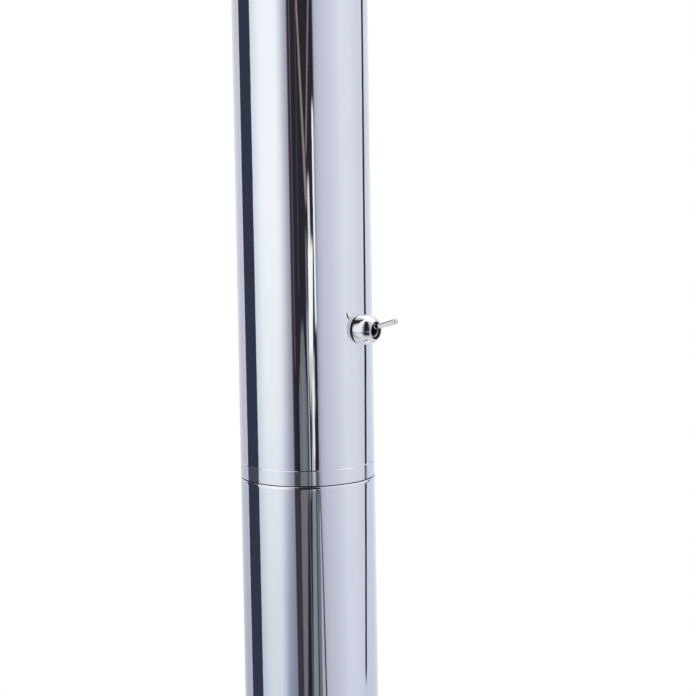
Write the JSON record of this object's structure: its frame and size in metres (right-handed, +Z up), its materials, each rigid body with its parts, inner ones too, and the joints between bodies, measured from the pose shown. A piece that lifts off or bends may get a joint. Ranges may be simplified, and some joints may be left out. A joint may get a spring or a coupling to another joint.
{
  "type": "flag pole stand",
  "caption": "Free-standing chromed flag pole stand: weighted round base, two-piece tubular post, toggle switch, pole socket with clamp screw and a lamp ring round the socket.",
  "frame": {"origin": "centre of the base at floor level", "axes": "+Z up along the post; the switch faces -Y and the clamp screw faces +Y"},
  "size_m": [0.3, 0.3, 0.7025],
  "materials": {
    "chrome_plate": "mirror-bright chrome plate",
    "nickel_plate": "bright nickel plate, slightly warmer than the chrome",
    "cast_iron": "grey cast iron, dull black paint",
    "zinc_steel": "zinc-plated steel",
    "satin_steel": "drawn steel tube, satin",
    "black_steel": "black-oxide steel",
    "aluminium": "turned aluminium",
    "spring_brass": "spring brass strip",
    "black_rubber": "matt rubber",
    "black_plastic": "moulded, fine matt",
    "switch_moulding": "dark phenolic moulding",
    "cell_jacket": "plain shrink jacket",
    "nylon": "natural nylon",
    "lamp_board_white": "white solder mask",
    "lamp_phosphor": "lamp phosphor, off",
    "opal_lens": "opal acrylic, satin top",
    "red_wire": "flexible wire insulation",
    "black_wire": "flexible wire insulation"
  },
  "bodies": {
    "stand_base": {"base_weight": "cast_iron", "base_cover": "chrome_plate", "foot_pads": "black_rubber", "base_bolt": "zinc_steel", "base_spring_washer": "zinc_steel", "base_flat_washer": "zinc_steel", "post_foot": "zinc_steel", "foot_dowel": "zinc_steel", "base_trim_ring": "chrome_plate", "lower_tube": "chrome_plate", "battery_cradle": "black_plastic", "cradle_cap": "black_plastic", "bottom_contact": "spring_brass", "return_strip": "spring_brass", "centre_contact": "spring_brass", "ring_contact": "spring_brass", "battery_cell_1": "cell_jacket", "battery_cell_2": "cell_jacket", "battery_cell_3": "cell_jacket", "battery_cell_4": "cell_jacket"},
    "upper_post": {"coupling_sleeve": "satin_steel", "joint_ring": "chrome_plate", "upper_tube": "chrome_plate", "contact_carrier": "black_plastic", "contact_rivets": "spring_brass", "supply_spring": "spring_brass", "return_spring": "spring_brass", "switch_frame": "nickel_plate", "switch_body": "switch_moulding", "switch_lugs": "spring_brass", "switch_nut": "nickel_plate", "switch_star_washer": "nickel_plate", "switch_seal": "black_rubber", "dome_nut": "nickel_plate", "socket_sleeve": "satin_steel", "socket_floor": "satin_steel", "pole_rest": "black_rubber", "lower_spacer": "black_plastic", "upper_spacer": "black_plastic", "clamp_boss": "zinc_steel", "mouth_ring": "chrome_plate", "lamp_carrier": "aluminium", "lamp_board": "lamp_board_white", "lamp_chips": "lamp_phosphor", "light_lens": "opal_lens", "top_collar": "chrome_plate", "collar_screws": "black_steel", "supply_wire": "red_wire", "lamp_wire": "red_wire", "return_wire": "black_wire"},
    "switch_lever": {"switch_lever": "nickel_plate"},
    "switch_rocker": {"switch_rocker": "switch_moulding"},
    "clamp_pad": {"clamp_pad": "nylon"},
    "clamp_screw": {"clamp_stud": "zinc_steel", "clamp_knob": "chrome_plate"}
  },
  "joints": [
    {"name": "upper_post_lift", "type": "slide", "parent": "stand_base", "child": "upper_post", "axis": [0, 0, 1], "range_m": [0, 0.06]},
    {"name": "switch_toggle", "type": "hinge", "parent": "upper_post", "child": "switch_lever", "pos_m": [0, -0.0332, 0.4665], "axis": [1, 0, 0], "range_deg": [0, 34]},
    {"name": "switch_rocker_tilt", "type": "hinge", "parent": "upper_post", "child": "switch_rocker", "pos_m": [0, -0.01901, 0.4665], "axis": [1, 0, 0], "range_deg": [-15.8, 0]},
    {"name": "clamp_advance", "type": "slide", "parent": "upper_post", "child": "clamp_pad", "axis": [0, -1, 0], "range_m": [0, 0.004]},
    {"name": "clamp_turn", "type": "hinge", "parent": "clamp_pad", "child": "clamp_screw", "pos_m": [0, 0.03, 0.6659], "axis": [0, -1, 0], "range_deg": [0, 1152]}
  ],
  "couplings": [
    {"joint": "switch_rocker_tilt", "follows": "switch_toggle", "ratio": -0.4624},
    {"joint": "clamp_turn", "follows": "clamp_advance", "rad_per_m": 5026.5}
  ]
}
